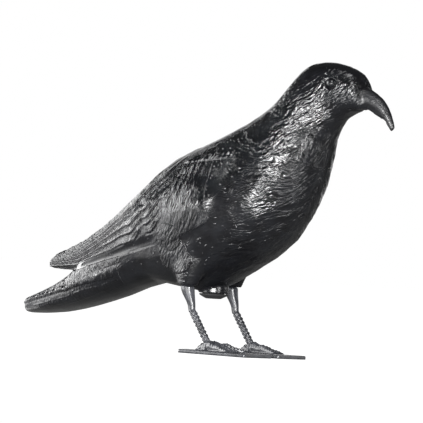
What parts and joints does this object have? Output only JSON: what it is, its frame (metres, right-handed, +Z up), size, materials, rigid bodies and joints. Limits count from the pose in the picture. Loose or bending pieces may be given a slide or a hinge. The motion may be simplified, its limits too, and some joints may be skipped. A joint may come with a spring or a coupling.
{
  "type": "crow decoy",
  "caption": "Life-size standing crow decoy: hollow moulded body with folded wings, plug-in legs on flat foot plates and a round belly stopper.",
  "frame": {"origin": "on the ground under the bird, midway between the tail's end and the bill's tip and midway between the two sides", "axes": "+X towards the bill, +Y towards the bird's left side, +Z up"},
  "size_m": [0.386, 0.1302, 0.281],
  "materials": {
    "body": "glossy black moulded polyethylene",
    "stopper": "satin black moulded plastic",
    "legs": "glossy black moulded plastic"
  },
  "bodies": {
    "body": {"body_shell": "body"},
    "stopper": {"belly_stopper": "stopper"},
    "leg_right": {"right_leg": "legs"},
    "leg_left": {"left_leg": "legs"}
  },
  "joints": [
    {"name": "right_leg_swivel", "type": "hinge", "parent": "body", "child": "leg_right", "pos_m": [0.0002, -0.0385, 0.063], "axis": [0, 0, 1], "range_deg": [-90, 3.5]},
    {"name": "left_leg_swivel", "type": "hinge", "parent": "body", "child": "leg_left", "pos_m": [0.0002, 0.0385, 0.063], "axis": [0, 0, 1], "range_deg": [-3.5, 90]},
    {"name": "belly_stopper_pull", "type": "slide", "parent": "body", "child": "stopper", "axis": [0, 0, -1], "range_m": [0, 0.012]}
  ]
}
